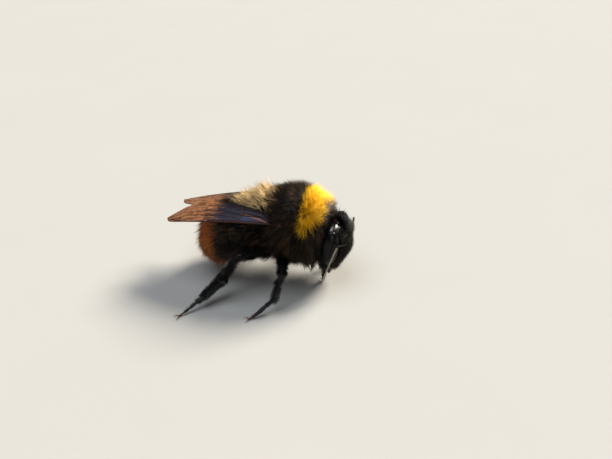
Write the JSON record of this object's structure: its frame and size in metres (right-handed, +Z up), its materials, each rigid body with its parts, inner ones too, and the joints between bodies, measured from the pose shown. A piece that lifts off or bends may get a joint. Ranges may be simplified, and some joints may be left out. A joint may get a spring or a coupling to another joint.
{
  "type": "bumblebee model",
  "caption": "Life-size still model of a furry bumblebee standing with folded wings, a yellow collar and an orange-brown tail.",
  "frame": {"origin": "on the floor, under the middle of the whole insect's box", "axes": "+Z up; the bee faces -Y, and its right side is -X"},
  "size_m": [0.017, 0.0178, 0.0099],
  "materials": {
    "coat": "matt black hair with a yellow collar and an orange-brown tail",
    "shell": "glossy black shell",
    "eye": "polished black facets",
    "feeler": "satin black",
    "wing": "thin smoky brown membrane with dark veins"
  },
  "bodies": {
    "root": {"abdomen": "coat", "antenna_left_flagellum": "feeler", "antenna_left_scape": "shell", "antenna_right_flagellum": "feeler", "antenna_right_scape": "shell", "eye_left": "eye", "eye_right": "eye", "head": "coat", "leg_front_left_coxa": "shell", "leg_front_left_femur": "shell", "leg_front_left_tarsus": "shell", "leg_front_left_tibia": "shell", "leg_front_right_coxa": "shell", "leg_front_right_femur": "shell", "leg_front_right_tarsus": "shell", "leg_front_right_tibia": "shell", "leg_hind_left_femur": "shell", "leg_hind_left_tarsus": "shell", "leg_hind_left_tibia": "shell", "leg_hind_right_femur": "shell", "leg_hind_right_tarsus": "shell", "leg_hind_right_tibia": "shell", "leg_middle_left_femur": "shell", "leg_middle_left_tarsus": "shell", "leg_middle_left_tibia": "shell", "leg_middle_right_femur": "shell", "leg_middle_right_tarsus": "shell", "leg_middle_right_tibia": "shell", "mouthparts": "shell", "thorax": "coat", "wing_left_fore": "wing", "wing_left_hind": "wing", "wing_right_fore": "wing", "wing_right_hind": "wing"}
  },
  "joints": []
}
